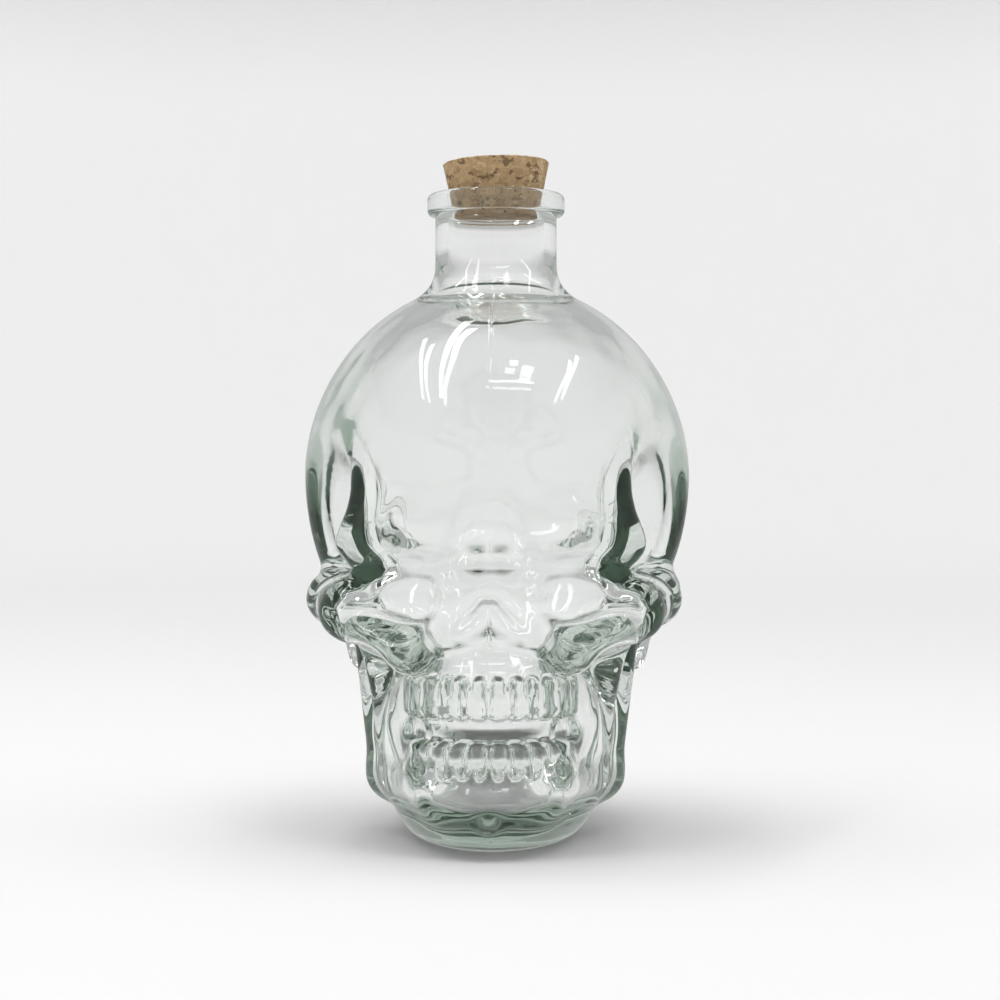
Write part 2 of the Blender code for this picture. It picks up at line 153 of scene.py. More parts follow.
# The skull's forms in the order they are sculpted: name, what is done, softness,
# shape. An egg has a centre, half-sizes, the height of its lower half and its
# squareness, 2 being round; a bar has its first end, the radius there, its last
# end and the radius there.
FORM_SHARES = (
    ("braincase", "add", 0, "egg", (0, 0.14, 0.642), (1.00, 0.86, 0.358), 0.400, 2),
    ("forehead", "add", 0.30, "egg", (0, -0.200, 0.620), (0.725, 0.745, 0.320), 0.180, 2.4),
    ("upper_face", "add", 0.06, "egg", (0, -0.174, 0.430), (0.80, 0.71, 0.110), 0.130, 2.5),
    ("temple", "cut", 0.16, "egg", (1.10, -0.440, 0.575), (0.53, 0.42, 0.125), 0.150, 2),
    ("muzzle", "add", 0.10, "egg", (0, -0.470, 0.262), (0.404, 0.42, 0.130), 0.130, 2),
    ("jaw_core", "add", 0.12, "egg", (0, -0.20, 0.190), (0.60, 0.50, 0.210), 0.190, 2),
    ("foot", "add", 0.06, "egg", (0, -0.105, 0.100), (0.535, 0.80, 0.100), 0.148, 2),
    ("nape", "add", 0.25, "egg", (0, 0.24, 0.190), (0.50, 0.38, 0.260), 0.260, 2),
    ("chin", "add", 0.06, "egg", (0, -0.70, 0.085), (0.33, 0.200, 0.055), 0.040, 2.2),
    ("jaw_body", "add", 0.06, "bar", (0.250, -0.72, 0.125), 0.13, (0.51, -0.10, 0.108), 0.130),
    ("jaw_line_front", "add", 0.03, "bar", (0, -0.880, 0.070), 0.050, (0.34, -0.760, 0.150), 0.050),
    ("jaw_line_side", "add", 0.07, "bar", (0.34, -0.760, 0.150), 0.05, (0.42, -0.620, 0.270), 0.045),
    ("jaw_line_back", "add", 0.05, "bar", (0.34, -0.740, 0.150), 0.06, (0.47, -0.360, 0.230), 0.080),
    ("jaw_branch", "add", 0.08, "bar", (0.51, -0.10, 0.108), 0.130, (0.604, 0, 0.354), 0.128),
    ("branch_edge", "add", 0.06, "bar", (0.447, -0.313, 0.17), 0.106, (0.56, -0.26, 0.338), 0.106),
    ("cheekbone", "add", 0.10, "bar", (0.426, -0.78, 0.346), 0.118, (0.690, -0.574, 0.410), 0.125),
    ("cheek_wing", "add", 0.08, "bar", (0.690, -0.574, 0.410), 0.125, (0.798, -0.296, 0.427), 0.118),
    ("cheek_arch", "add", 0.08, "bar", (0.798, -0.296, 0.427), 0.118, (0.872, 0.14, 0.437), 0.085),
    ("mastoid", "add", 0.10, "bar", (0.726, 0.19, 0.385), 0.106, (0.69, 0.157, 0.315), 0.090),
    ("brow_inner", "add", 0.12, "bar", (0.14, -0.83, 0.597), 0.090, (0.36, -0.81, 0.556), 0.090),
    ("brow_outer", "add", 0.20, "bar", (0.36, -0.81, 0.556), 0.090, (0.65, -0.65, 0.530), 0.068),
    ("temple_ridge", "add", 0.06, "bar", (0.65, -0.48, 0.710), 0.045, (0.585, -0.63, 0.640), 0.065),
    ("ridge_foot", "add", 0.06, "bar", (0.585, -0.63, 0.640), 0.065, (0.65, -0.65, 0.530), 0.075),
    ("eye_socket", "cut", 0.08, "egg", (0.478, -0.90, 0.440), (0.250, 0.23, 0.068), 0.065, 2.2),
    ("under_brow", "cut", 0.006, "bar", (0.22, -0.955, 0.472), 0.130, (0.70, -0.83, 0.458), 0.120),
    ("brow_notch", "cut", 0.006, "bar", (0.03, -0.975, 0.543), 0.130, (0.17, -0.965, 0.487), 0.130),
    ("nose_bridge", "add", 0.06, "bar", (0, -0.80, 0.555), 0.110, (0, -0.79, 0.420), 0.160),
    ("nose", "cut", 0.03, "bar", (0.01, -0.91, 0.415), 0.052, (0.110, -0.89, 0.355), 0.092),
    ("cheek", "cut", 0.09, "egg", (0.610, -0.73, 0.244), (0.20, 0.36, 0.105), 0.120, 2),
)

# Forms that the cavity passes by: solid glass, or hollows of the outer skin alone
SOLID_FORMS = (
    "temple",
    "eye_socket",
    "under_brow",
    "brow_notch",
    "temple_ridge",
    "ridge_foot",
    "mastoid",
    "chin",
    "jaw_line_front",
    "jaw_line_side",
    "jaw_line_back",
    "branch_edge",
)

# Tooth rows: arch centre along Y, arch half width and half depth, top and bottom
UPPER_ARCH_SHARES = (-0.609, 0.394, 0.296, 0.252, 0.294)
LOWER_ARCH_SHARES = (-0.609, 0.372, 0.278, 0.178, 0.150)
BITE_HEIGHT_SHARE = 0.214
BITE_RADIUS_SHARE = 0.05
BITE_SOFTNESS_SHARE = 0.05

# Columns of one side of the bottle: turn from the middle of the face, how many
# columns lead up to it. The two narrow ones at either end carry the mould seam.
COLUMN_FAN = (
    (0, 0),
    (math.radians(0.6), 2),
    (TEETH_PER_SIDE * TOOTH_PITCH, 44),
    (math.radians(50), 24),
    (math.radians(90), 34),
    (math.radians(179.4), 46),
    (math.radians(180), 2),
)

# Rings of the blank, outside from the base up and inside from the bore down: how
# high on the axis each blowing direction starts, its slope in degrees, and how many
# rings lead up to it
OUTER_FAN_SHARES = (
    (0.12, -90, 0),
    (0.12, -30, 14),
    (0.13, -4, 16),
    (0.30, 0, 44),
    (0.54, 3, 62),
    (0.64, 22, 22),
    (0.64, 73, 40),
    (1.02, 0, 1),
    (1.10, 0, 4),
)
INNER_FAN_SHARES = (
    (1.10, 0, 0),
    (1.05, 0, 3),
    (0.64, 71, 1),
    (0.64, 22, 18),
    (0.36, 0, 24),
    (0.20, -20, 16),
    (0.20, -90, 14),
)

# How many steps a rounded corner of the lip has
CORNER_STEPS = 6


def egg_distance(points, centre, sizes, lower_height, squareness):
    """Signed distance to an egg, which is as square in section as it is told to be."""
    offset = np.abs(points - centre)
    radii = np.tile(sizes, (len(points), 1))
    radii[points[:, 2] < centre[2], 2] = lower_height
    shares = np.maximum(offset / radii, SMALLEST_SHARE)
    size = np.sum(shares**squareness, axis=1) ** (1 / squareness)
    steepness = np.linalg.norm((shares / size[:, None]) ** (squareness - 1) / radii, axis=1)
    return (size - 1) / steepness


def bar_distance(points, start, start_radius, end, end_radius):
    """Signed distance to a round bar that tapers from one end to the other."""
    axis = end - start
    along = np.clip((points - start) @ axis / (axis @ axis), 0, 1)
    nearest = start + along[:, None] * axis
    radius = start_radius + along * (end_radius - start_radius)
    return np.linalg.norm(points - nearest, axis=1) - radius


def join(first, second, softness):
    """The union of two distances, with a fillet of about this softness."""
    if softness <= 0:
        return np.minimum(first, second)
    mix = np.clip(0.5 + 0.5 * (second - first) / softness, 0, 1)
    return second + (first - second) * mix - softness * mix * (1 - mix)


def cut(body, tool, softness):
    """The body less the tool, with its edge rounded by about this softness."""
    return -join(-body, tool, softness)


def place(shares):
    """A point or a set of half-sizes from its shares of the skull's sizes."""
    return np.array(shares) * SKULL_SCALE


def arch_point(arch_shares, turn, inset, height_share):
    """The point of a tooth arch that lies in this direction from the bottle's axis."""
    centre_share, width_share, depth_share = arch_shares[:3]
    half_width = width_share * HALF_WIDTH
    half_depth = depth_share * HALF_DEPTH
    across = math.sin(turn) / (half_width - inset)
    along = -math.cos(turn) / (half_depth - inset)
    offset = centre_share * HALF_DEPTH / (half_depth - inset)
    steep = across**2 + along**2
    reach = (along * offset + math.sqrt(steep - (across * offset) ** 2)) / steep
    return np.array([reach * math.sin(turn), -reach * math.cos(turn), height_share * SKULL_HEIGHT])


def tooth_row_distance(points, arch_shares):
    """Distance to the teeth of one jaw, each a round bar that tapers from edge to root."""
    edge_height, root_height = arch_shares[3:]
    distance = np.full(len(points), np.inf)
    for number in range(TEETH_PER_SIDE):
        turn = TOOTH_PITCH * (number + 0.5)
        edge = arch_point(arch_shares, turn, TOOTH_HALF_WIDTH - TOOTH_STAND_OUT, edge_height)
        root = arch_point(arch_shares, turn, TOOTH_ROOT_HALF_WIDTH - TOOTH_STAND_OUT, root_height)
        tooth = bar_distance(points, edge, TOOTH_HALF_WIDTH, root, TOOTH_ROOT_HALF_WIDTH)
        distance = join(distance, tooth, 0)
    return distance


def bite_distance(points):
    """Distance to the groove between the two rows of teeth, a bent round bar."""
    radius = BITE_RADIUS_SHARE * HALF_WIDTH
    distance = np.full(len(points), np.inf)
    ends = [
        arch_point(UPPER_ARCH_SHARES, TOOTH_PITCH * number, 0, BITE_HEIGHT_SHARE)
        for number in range(TEETH_PER_SIDE + 1)
    ]
    for start, end in zip(ends, ends[1:]):
        distance = join(distance, bar_distance(points, start, radius, end, radius), 0)
    return distance


def skull_distance(points, keel_rounding=0, fine=True):
    """Signed distance to the mould's wall, without the neck and the flat base.

    The keel rounding smooths the line where the two mirrored halves meet. What is not
    fine has no teeth and none of the solid forms, as the cavity wants it.
    """
    points = np.column_stack([np.hypot(points[:, 0], keel_rounding), points[:, 1:]])
    distance = None
    for name, action, softness, shape, *sizes in FORM_SHARES:
        if name in SOLID_FORMS and not fine:
            continue
        if shape == "egg":
            centre, half_sizes, lower_height, squareness = sizes
            form = egg_distance(
                points, place(centre), place(half_sizes), lower_height * SKULL_HEIGHT, squareness
            )
        else:
            start, start_radius, end, end_radius = sizes
            form = bar_distance(
                points, place(start), start_radius * HALF_WIDTH, place(end), end_radius * HALF_WIDTH
            )
        combine = join if action == "add" else cut
        distance = form if distance is None else combine(distance, form, softness * HALF_WIDTH)
    if fine:
        distance = cut(distance, bite_distance(points), BITE_SOFTNESS_SHARE * HALF_WIDTH)
        for arch_shares in (UPPER_ARCH_SHARES, LOWER_ARCH_SHARES):
            distance = join(distance, tooth_row_distance(points, arch_shares), TOOTH_SOFTNESS)
    return distance


def waves(points):
    """The sum of the waves in the glass."""
    return np.sin(points @ np.array(WAVES).T).sum(axis=1)


def outside_distance(points, sizes):
    """Signed distance to the whole outside: skull, neck, flat base and mould seam."""
    distance = skull_distance(points)
    neck = np.hypot(points[:, 0], points[:, 1]) - NECK_RADIUS
    neck = np.maximum(neck, NECK_ROOT_HEIGHT - points[:, 2])
    distance = join(distance, neck, SHOULDER_FILLET)
    distance = distance - sizes.seam_height * np.exp(-((points[:, 0] / SEAM_HALF_WIDTH) ** 2))
    distance = distance + OUTER_WAVE_HEIGHT * waves(points)
    return cut(distance, points[:, 2], BASE_EDGE_ROUNDING)


def extra_side_wall(points):
    """How much thicker than elsewhere the glass is at the sides of the braincase."""
    sideways = np.minimum(np.abs(points[:, 0]) / HALF_WIDTH, 1) ** SIDE_WALL_POWER
    upwards = np.clip((points[:, 2] - SIDE_WALL_FROM) / (SIDE_WALL_FULL - SIDE_WALL_FROM), 0, 1)
    return SIDE_WALL_EXTRA * sideways * upwards**2 * (3 - 2 * upwards)


def inside_distance(points, sizes):
    """Signed distance to the cavity: one wall inside the blurred skull, and the bore."""
    shifts = CAVITY_BLUR * np.vstack([np.eye(3), -np.eye(3)])
    shifted = [skull_distance(points + shift, CAVITY_BLUR, fine=False) for shift in shifts]
    blurred = np.mean(shifted, axis=0)
    wall = sizes.wall + extra_side_wall(points)
    distance = cut(blurred + wall, -skull_distance(points) - THINNEST_WALL, CAVITY_SOFTNESS)
    distance = distance + INNER_WAVE_HEIGHT * waves(points)
    distance = cut(distance, points[:, 2] - BASE_THICKNESS, CAVITY_SOFTNESS)
    bore = np.hypot(points[:, 0], points[:, 1]) - BORE_RADIUS
    bore = np.maximum(bore, NECK_ROOT_HEIGHT - points[:, 2])
    return join(distance, bore, BORE_FILLET)


def fan(stations):
    """The start height on the axis and the slope of every ring's blowing direction."""
    rays = []
    for (low, low_slope, _), (high, high_slope, rings) in zip(stations, stations[1:]):
        for ring in range(rings):
            share = ring / rings
            height = low + (high - low) * share
            slope = low_slope + (high_slope - low_slope) * share
            rays.append((height * SKULL_HEIGHT, math.radians(slope)))
    last_height, last_slope, _ = stations[-1]
    rays.append((last_height * SKULL_HEIGHT, math.radians(last_slope)))
    return rays


def rounded_corner(centre_r, centre_z, radius, from_turn, to_turn):
    """Points of a quarter round in the profile's plane, first and last included."""
    turns = np.linspace(math.radians(from_turn), math.radians(to_turn), CORNER_STEPS + 1)
    return [(centre_r + radius * math.cos(a), centre_z + radius * math.sin(a)) for a in turns]


def lip_profile():
    """The lip's turned outline, from the neck below it, over the top and into the bore."""
    lip_bottom = MOUTH_HEIGHT - LIP_HEIGHT
    outer = LIP_RADIUS - LIP_ROUNDING
    points = [(NECK_RADIUS, lip_bottom)]
    points += rounded_corner(outer, lip_bottom + LIP_ROUNDING, LIP_ROUNDING, -90, 0)
    points += rounded_corner(outer, MOUTH_HEIGHT - LIP_ROUNDING, LIP_ROUNDING, 0, 90)
    points += rounded_corner(
        BORE_RADIUS + MOUTH_ROUNDING, MOUTH_HEIGHT - MOUTH_ROUNDING, MOUTH_ROUNDING, 90, 180
    )
    return points


def crowd_to_face(turns):
    """Turns from the face's middle, drawn together at the face as the table of columns says."""
    columns = np.cumsum([columns for _, columns in COLUMN_FAN])
    table = [turn for turn, _ in COLUMN_FAN]
    return np.sign(turns) * np.interp(np.abs(turns) / math.pi * columns[-1], columns, table)


def spin_profile(profile, columns):
    """Turns a profile round the neck's axis. Each vertex keeps its place in the profile."""
    turned = bmesh.new()
    place_in_profile = turned.verts.layers.float.new(PLACE_LAYER)
    verts = [turned.verts.new((0, -radius, height)) for radius, height in profile]
    for number, vert in enumerate(verts):
        vert[place_in_profile] = number
    edges = [turned.edges.new(pair) for pair in zip(verts, verts[1:])]
    bmesh.ops.spin(
        turned,
        geom=verts + edges,
        cent=(0, 0, 0),
        axis=(0, 0, 1),
        angle=2 * math.pi,
        steps=columns,
        use_merge=True,
    )
    bmesh.ops.remove_doubles(turned, verts=turned.verts, dist=MERGE_DISTANCE)
    bmesh.ops.recalc_face_normals(turned, faces=turned.faces)
    return turned


def blow(distance_to_wall, sizes, heights, slopes, turns):
    """Where directions that leave the axis first meet a wall, seen from outside it."""
    flat = np.cos(slopes)
    directions = np.column_stack([flat * np.sin(turns), -flat * np.cos(turns), np.sin(slopes)])
    middle = np.zeros_like(heights)
    origins = np.column_stack([middle, middle, heights])
    reach = np.full(len(heights), SKULL_HEIGHT)
    moving = np.arange(len(heights))
    for _ in range(MARCH_STEPS):
        gap = distance_to_wall(origins[moving] + reach[moving, None] * directions[moving], sizes)
        reach[moving] = np.maximum(reach[moving] - MARCH_STRIDE_SHARE * gap, 0)
        moving = moving[np.abs(gap) > MARCH_NEAR]
        if not len(moving):
            break
    return origins + reach[:, None] * directions


def finished_object(name, mesh_builder, material, body, node):
    """Turns a bmesh into a smooth object of the frame that stands for a CAD node."""
    mesh = bpy.data.meshes.new(name)
    mesh_builder.to_mesh(mesh)
    mesh_builder.free()
    mesh.shade_smooth()
    mesh.materials.append(material)
    piece = bpy.data.objects.new(name, mesh)
    bpy.context.scene.collection.objects.link(piece)
    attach(piece, body)
    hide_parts(node)
    return piece


# The colour sockets of a Mix node, which has others of the same names
MIX_FIRST_COLOUR = 6
MIX_SECOND_COLOUR = 7
MIX_RESULT_COLOUR = 2


class NodeBench:
    """Makes one material, and adds and links its nodes."""

    def __init__(self, name):
        self.material = bpy.data.materials.new(name)
        self.material.use_nodes = True
        self.tree = self.material.node_tree
        self.shader = self.tree.nodes["Principled BSDF"]
        self.output = self.tree.nodes["Material Output"]

    def node(self, kind, **values):
        """A new node, with these of its settings."""
        made = self.tree.nodes.new(kind)
        for name, value in values.items():
            setattr(made, name, value)
        return made

    def link(self, output, socket):
        """Links a node's output to the socket of another."""
        self.tree.links.new(output, socket)

    def map_range(self, value, from_range, to_range, kind="LINEAR"):
        """The value moved from one range to another, and kept within it."""
        mapped = self.node("ShaderNodeMapRange", interpolation_type=kind)
        mapped.inputs["From Min"].default_value, mapped.inputs["From Max"].default_value = from_range
        mapped.inputs["To Min"].default_value, mapped.inputs["To Max"].default_value = to_range
        self.link(value, mapped.inputs["Value"])
        return mapped.outputs["Result"]

    def maths(self, operation, first, second):
        """The sum or product of two sockets."""
        result = self.node("ShaderNodeMath", operation=operation)
        self.link(first, result.inputs[0])
        self.link(second, result.inputs[1])
        return result.outputs["Value"]

    def mix_colour(self, share, first, second):
        """A colour between the first, which is a socket, and a fixed second."""
        mix = self.node("ShaderNodeMix", data_type="RGBA")
        self.link(share, mix.inputs["Factor"])
        self.link(first, mix.inputs[MIX_FIRST_COLOUR])
        mix.inputs[MIX_SECOND_COLOUR].default_value = (*second, 1)
        return mix.outputs[MIX_RESULT_COLOUR]


def set_ramp(ramp, stops):
    """Gives a colour ramp these stops: a place from 0 to 1, and a colour."""
    while len(ramp.elements) < len(stops):
        ramp.elements.new(1)
    for element, (position, colour) in zip(ramp.elements, stops):
        element.position = position
        element.color = (*colour, 1)


# Glass material
GLASS_IOR = 1.5

# Cork material: how fine its granules, their ragged edges, their grain and the bark
# specks are, per metre, and how strongly each shows
CORK_GRANULE_FINENESS = 480
CORK_RAGGED_FINENESS = 900
CORK_RAGGED_PUSH = 0.0022
CORK_FLATNESS = 1.9
CORK_JOINT_WIDTH = 0.16
CORK_JOINT_SHADE = 0.28
CORK_GRAIN_FINENESS = 2600
CORK_GRAIN_DETAIL = 4
CORK_GRAIN_RANGE = (0.45, 0.75)
CORK_GRAIN_SHADE = 0.7
CORK_SPECK_FINENESS = 420
CORK_SPECK_DETAIL = 1
CORK_SPECK_RAGGEDNESS = 0.4
CORK_SPECK_RANGE = (0.59, 0.70)
CORK_SPECK_SHADE = 0.75
CORK_BUMP_STRENGTH = 0.8
CORK_BUMP_DEPTH = 0.0003
CORK_ROUGHNESS = 0.82

# Where the granules' brown turns to tan, and the tan to the palest
CORK_TAN_FROM = 0.22
CORK_TAN_TO = 0.62


def glass_material(colours):
    """Clear moulded glass: a faint grey green that shows where the wall is thick."""
    bench = NodeBench("clear_moulded_glass")
    bench.shader.inputs["Base Color"].default_value = (1, 1, 1, 1)
    bench.shader.inputs["Roughness"].default_value = 0
    bench.shader.inputs["IOR"].default_value = GLASS_IOR
    bench.shader.inputs["Transmission Weight"].default_value = 1
    absorption = bench.node("ShaderNodeVolumeAbsorption")
    absorption.inputs["Color"].default_value = (*colours.glass_tint, 1)
    absorption.inputs["Density"].default_value = colours.glass_tint_density
    bench.link(absorption.outputs["Volume"], bench.output.inputs["Volume"])
    return bench.material


def ragged_place(bench):
    """Where a point of the cork lies, pushed about and flattened as its granules are."""
    place_on_cork = bench.node("ShaderNodeTexCoord").outputs["Object"]
    ragged = bench.node("ShaderNodeTexNoise")
    ragged.inputs["Scale"].default_value = CORK_RAGGED_FINENESS
    bench.link(place_on_cork, ragged.inputs["Vector"])
    push = bench.node("ShaderNodeVectorMath", operation="MULTIPLY_ADD")
    push.inputs[1].default_value = (CORK_RAGGED_PUSH, CORK_RAGGED_PUSH, CORK_RAGGED_PUSH)
    bench.link(ragged.outputs["Color"], push.inputs[0])
    bench.link(place_on_cork, push.inputs[2])
    flat = bench.node("ShaderNodeMapping")
    flat.inputs["Scale"].default_value = (1, 1, CORK_FLATNESS)
    bench.link(push.outputs["Vector"], flat.inputs["Vector"])
    return flat.outputs["Vector"]


def granule_colour(bench, place_on_cork, colours):
    """One of the cork's tones for each granule."""
    granules = bench.node("ShaderNodeTexVoronoi")
    granules.inputs["Scale"].default_value = CORK_GRANULE_FINENESS
    bench.link(place_on_cork, granules.inputs["Vector"])
    shade = bench.node("ShaderNodeSeparateColor")
    bench.link(granules.outputs["Color"], shade.inputs["Color"])
    tones = bench.node("ShaderNodeValToRGB")
    ramp_stops = (
        (0, colours.cork_brown),
        (CORK_TAN_FROM, colours.cork_tan),
        (CORK_TAN_TO, colours.cork_tan),
        (1, colours.cork_pale),
    )
    set_ramp(tones.color_ramp, ramp_stops)
    bench.link(shade.outputs["Red"], tones.inputs["Fac"])
    return tones.outputs["Color"]


def cork_material(colours):
    """Agglomerated cork: granules of several browns pressed together, with dark bark specks."""
    bench = NodeBench("pressed_cork")
    place_on_cork = ragged_place(bench)
    granules = granule_colour(bench, place_on_cork, colours)

    joints = bench.node("ShaderNodeTexVoronoi", feature="DISTANCE_TO_EDGE")
    joints.inputs["Scale"].default_value = CORK_GRANULE_FINENESS
    bench.link(place_on_cork, joints.inputs["Vector"])
    edge = joints.outputs["Distance"]
    joint = bench.map_range(edge, (0, CORK_JOINT_WIDTH), (CORK_JOINT_SHADE, 0), "SMOOTHSTEP")
    jointed = bench.mix_colour(joint, granules, colours.cork_brown)

    grains = bench.node("ShaderNodeTexNoise")
    grains.inputs["Scale"].default_value = CORK_GRAIN_FINENESS
    grains.inputs["Detail"].default_value = CORK_GRAIN_DETAIL
    bench.link(place_on_cork, grains.inputs["Vector"])
    grain = bench.map_range(grains.outputs["Fac"], CORK_GRAIN_RANGE, (0, CORK_GRAIN_SHADE))
    grained = bench.mix_colour(grain, jointed, colours.cork_brown)

    specks = bench.node("ShaderNodeTexNoise")
    specks.inputs["Scale"].default_value = CORK_SPECK_FINENESS
    specks.inputs["Detail"].default_value = CORK_SPECK_DETAIL
    specks.inputs["Roughness"].default_value = CORK_SPECK_RAGGEDNESS
    bench.link(place_on_cork, specks.inputs["Vector"])
    speck_range = (0, CORK_SPECK_SHADE)
    speck = bench.map_range(specks.outputs["Fac"], CORK_SPECK_RANGE, speck_range, "SMOOTHSTEP")
    speckled = bench.mix_colour(speck, grained, colours.cork_bark)
    bench.link(speckled, bench.shader.inputs["Base Color"])

    pits = bench.maths("ADD", bench.maths("ADD", joint, speck), grain)
    bump = bench.node("ShaderNodeBump", invert=True)
    bump.inputs["Strength"].default_value = CORK_BUMP_STRENGTH
    bump.inputs["Distance"].default_value = CORK_BUMP_DEPTH
    bench.link(pits, bump.inputs["Height"])
    bench.link(bump.outputs["Normal"], bench.shader.inputs["Normal"])
    bench.link(
        bench.map_range(speck, (0, 1), (CORK_ROUGHNESS, 1)),
        bench.shader.inputs["Roughness"],
    )
    return bench.material


class SkullBottleSizes(bpy.types.PropertyGroup):
    """Sizes of the glass that can be set"""

    wall: bpy.props.FloatProperty(
        name="Wall", description="Thickness of the skull's glass", default=0.0032, unit="LENGTH"
    )
    seam_height: bpy.props.FloatProperty(
        name="Seam height",
        description="How far the mould seam stands out of the glass",
        default=0.0001,
        unit="LENGTH",
    )


class SkullBottleColours(bpy.types.PropertyGroup):
    """Colours of the glass and the cork"""

    glass_tint: bpy.props.FloatVectorProperty(
        name="Glass tint",
        description="What is left of white light in thick glass",
        default=(0.42, 0.54, 0.45),
        subtype="COLOR",
    )
    glass_tint_density: bpy.props.FloatProperty(
        name="Tint density", description="How fast thick glass takes its tint", default=20
    )
    cork_pale: bpy.props.FloatVectorProperty(
        name="Pale cork",
        description="The palest granules",
        default=(0.74, 0.55, 0.32),
        subtype="COLOR",
    )
    cork_tan: bpy.props.FloatVectorProperty(
        name="Tan cork",
        description="Most of the granules",
        default=(0.60, 0.41, 0.215),
        subtype="COLOR",
    )
    cork_brown: bpy.props.FloatVectorProperty(
        name="Brown cork",
        description="Dark granules and joints",
        default=(0.36, 0.225, 0.11),
        subtype="COLOR",
    )
    cork_bark: bpy.props.FloatVectorProperty(
        name="Bark specks",
        description="Specks of bark",
        default=(0.13, 0.080, 0.040),
        subtype="COLOR",
    )


class SKULLBOTTLE_OT_glass(bpy.types.Operator):
    """Make the glass: a turned blank, blown out on both skins"""

    bl_idname = "skullbottle.glass"
    bl_label = "Glass bottle"

    def execute(self, context):
        sizes = context.scene.skull_bottle_sizes
        outer_rays = fan(OUTER_FAN_SHARES)
        inner_rays = fan(INNER_FAN_SHARES)
        lip = lip_profile()
        outer_blank = BLANK_SHARE * NECK_RADIUS
        inner_blank = outer_blank * BLANK_SHARE
        profile = [(outer_blank * math.cos(s), h + outer_blank * math.sin(s)) for h, s in outer_rays]
        profile += lip
        profile += [(inner_blank * math.cos(s), h + inner_blank * math.sin(s)) for h, s in inner_rays]
        blank = spin_profile(profile, 2 * sum(columns for _, columns in COLUMN_FAN))

        place_in_profile = blank.verts.layers.float[PLACE_LAYER]
        places = np.array([vert[place_in_profile] for vert in blank.verts])
        corners = np.array([vert.co for vert in blank.verts])
        turns = crowd_to_face(np.arctan2(corners[:, 0], -corners[:, 1]))
        rays = np.array(outer_rays + [(0, 0)] * len(lip) + inner_rays)
        heights = np.interp(places, np.arange(len(profile)), rays[:, 0])
        slopes = np.interp(places, np.arange(len(profile)), rays[:, 1])
        radii = np.interp(places, np.arange(len(profile)), [radius for radius, _ in profile])
        final = np.column_stack([radii * np.sin(turns), -radii * np.cos(turns), corners[:, 2]])
        is_outer = places < len(outer_rays)
        is_inner = places >= len(outer_rays) + len(lip)
        for chosen, wall in ((is_outer, outside_distance), (is_inner, inside_distance)):
            final[chosen] = blow(wall, sizes, heights[chosen], slopes[chosen], turns[chosen])
        final[:, 2] = np.maximum(final[:, 2], GLASS_LOW.z)
        for vert, corner in zip(blank.verts, final):
            vert.co = corner
        bmesh.ops.recalc_face_normals(blank, faces=blank.faces)
        material = glass_material(context.scene.skull_bottle_colours)
        finished_object("skull_glass", blank, material, "bottle", "glass_bottle")
        return {"FINISHED"}


def cork_outline(top_radius, bottom_radius):
    """The plug's outline, from the middle of its top to the middle of its foot."""
    top = CORK_HIGH.z
    bottom = CORK_LOW.z
    across = np.linspace(0, 1, CORK_TOP_RINGS)
    outline = [(share * (top_radius - CORK_CHAMFER), top) for share in across]
    for share in np.linspace(0, 1, CORK_RINGS):
        radius = top_radius + (bottom_radius - top_radius) * share
        outline.append((radius, top - CORK_CHAMFER + (bottom - top + 2 * CORK_CHAMFER) * share))
    outline += [(share * (bottom_radius - CORK_CHAMFER), bottom) for share in reversed(across)]
    return outline


def wear_cork(plug, top_radius):
    """Makes the top slope to the left and the whole skin uneven, always inwards."""
    moves = []
    for vert in plug.verts:
        across = vert.co.x / top_radius
        bump = CORK_BUMP_RELIEF * (1 + noise.noise(vert.co * CORK_BUMP_FINENESS)) / 2
        dent = CORK_DENT_RELIEF * (1 + noise.noise(vert.co * CORK_DENT_FINENESS)) / 2
        inward = -vert.normal * (bump + dent)
        above_mouth = max(0, (vert.co.z - MOUTH_HEIGHT) / (CORK_HIGH.z - MOUTH_HEIGHT))
        inward.z -= CORK_TOP_SLOPE * above_mouth**2 * (1 - across) / 2
        moves.append(inward)
    for vert, move in zip(plug.verts, moves):
        vert.co += move


class SKULLBOTTLE_OT_cork(bpy.types.Operator):
    """Make the cork: a turned plug that tapers down into the mouth"""

    bl_idname = "skullbottle.cork"
    bl_label = "Cork stopper"

    def execute(self, context):
        at_mouth = BORE_RADIUS - CORK_CLEARANCE
        top_radius = at_mouth + (CORK_HIGH.z - MOUTH_HEIGHT) * math.tan(CORK_TAPER)
        bottom_radius = at_mouth + (CORK_LOW.z - MOUTH_HEIGHT) * math.tan(CORK_TAPER)
        plug = spin_profile(cork_outline(top_radius, bottom_radius), CORK_COLUMNS)
        wear_cork(plug, top_radius)
        material = cork_material(context.scene.skull_bottle_colours)
        finished_object("cork_plug", plug, material, "cork", "cork_stopper")
        return {"FINISHED"}


# Camera, matched to the photograph
CAMERA_AZIMUTH = math.radians(1.8)
CAMERA_DISTANCE = 0.520
CAMERA_HEIGHT = 0.079
FRAME_WIDTH_AT_NECK = 0.241
SENSOR_WIDTH = 36
CAMERA_SHIFT_X = 0.004

# Studio: a round pale floor that sweeps up into a wall all round
FLOOR_RADIUS = 1.6
SWEEP_RADIUS = 0.9
WALL_TOP = 1.0
LAMP_CEILING = 2.2
SWEEP_STEPS = 16
STUDIO_COLUMNS = 96

# How bright the room is all round, which the glass also mirrors
ROOM_BRIGHTNESS = 0.50

# How often light may turn in the glass, which has long ways round inside it
LIGHT_BOUNCES = 64

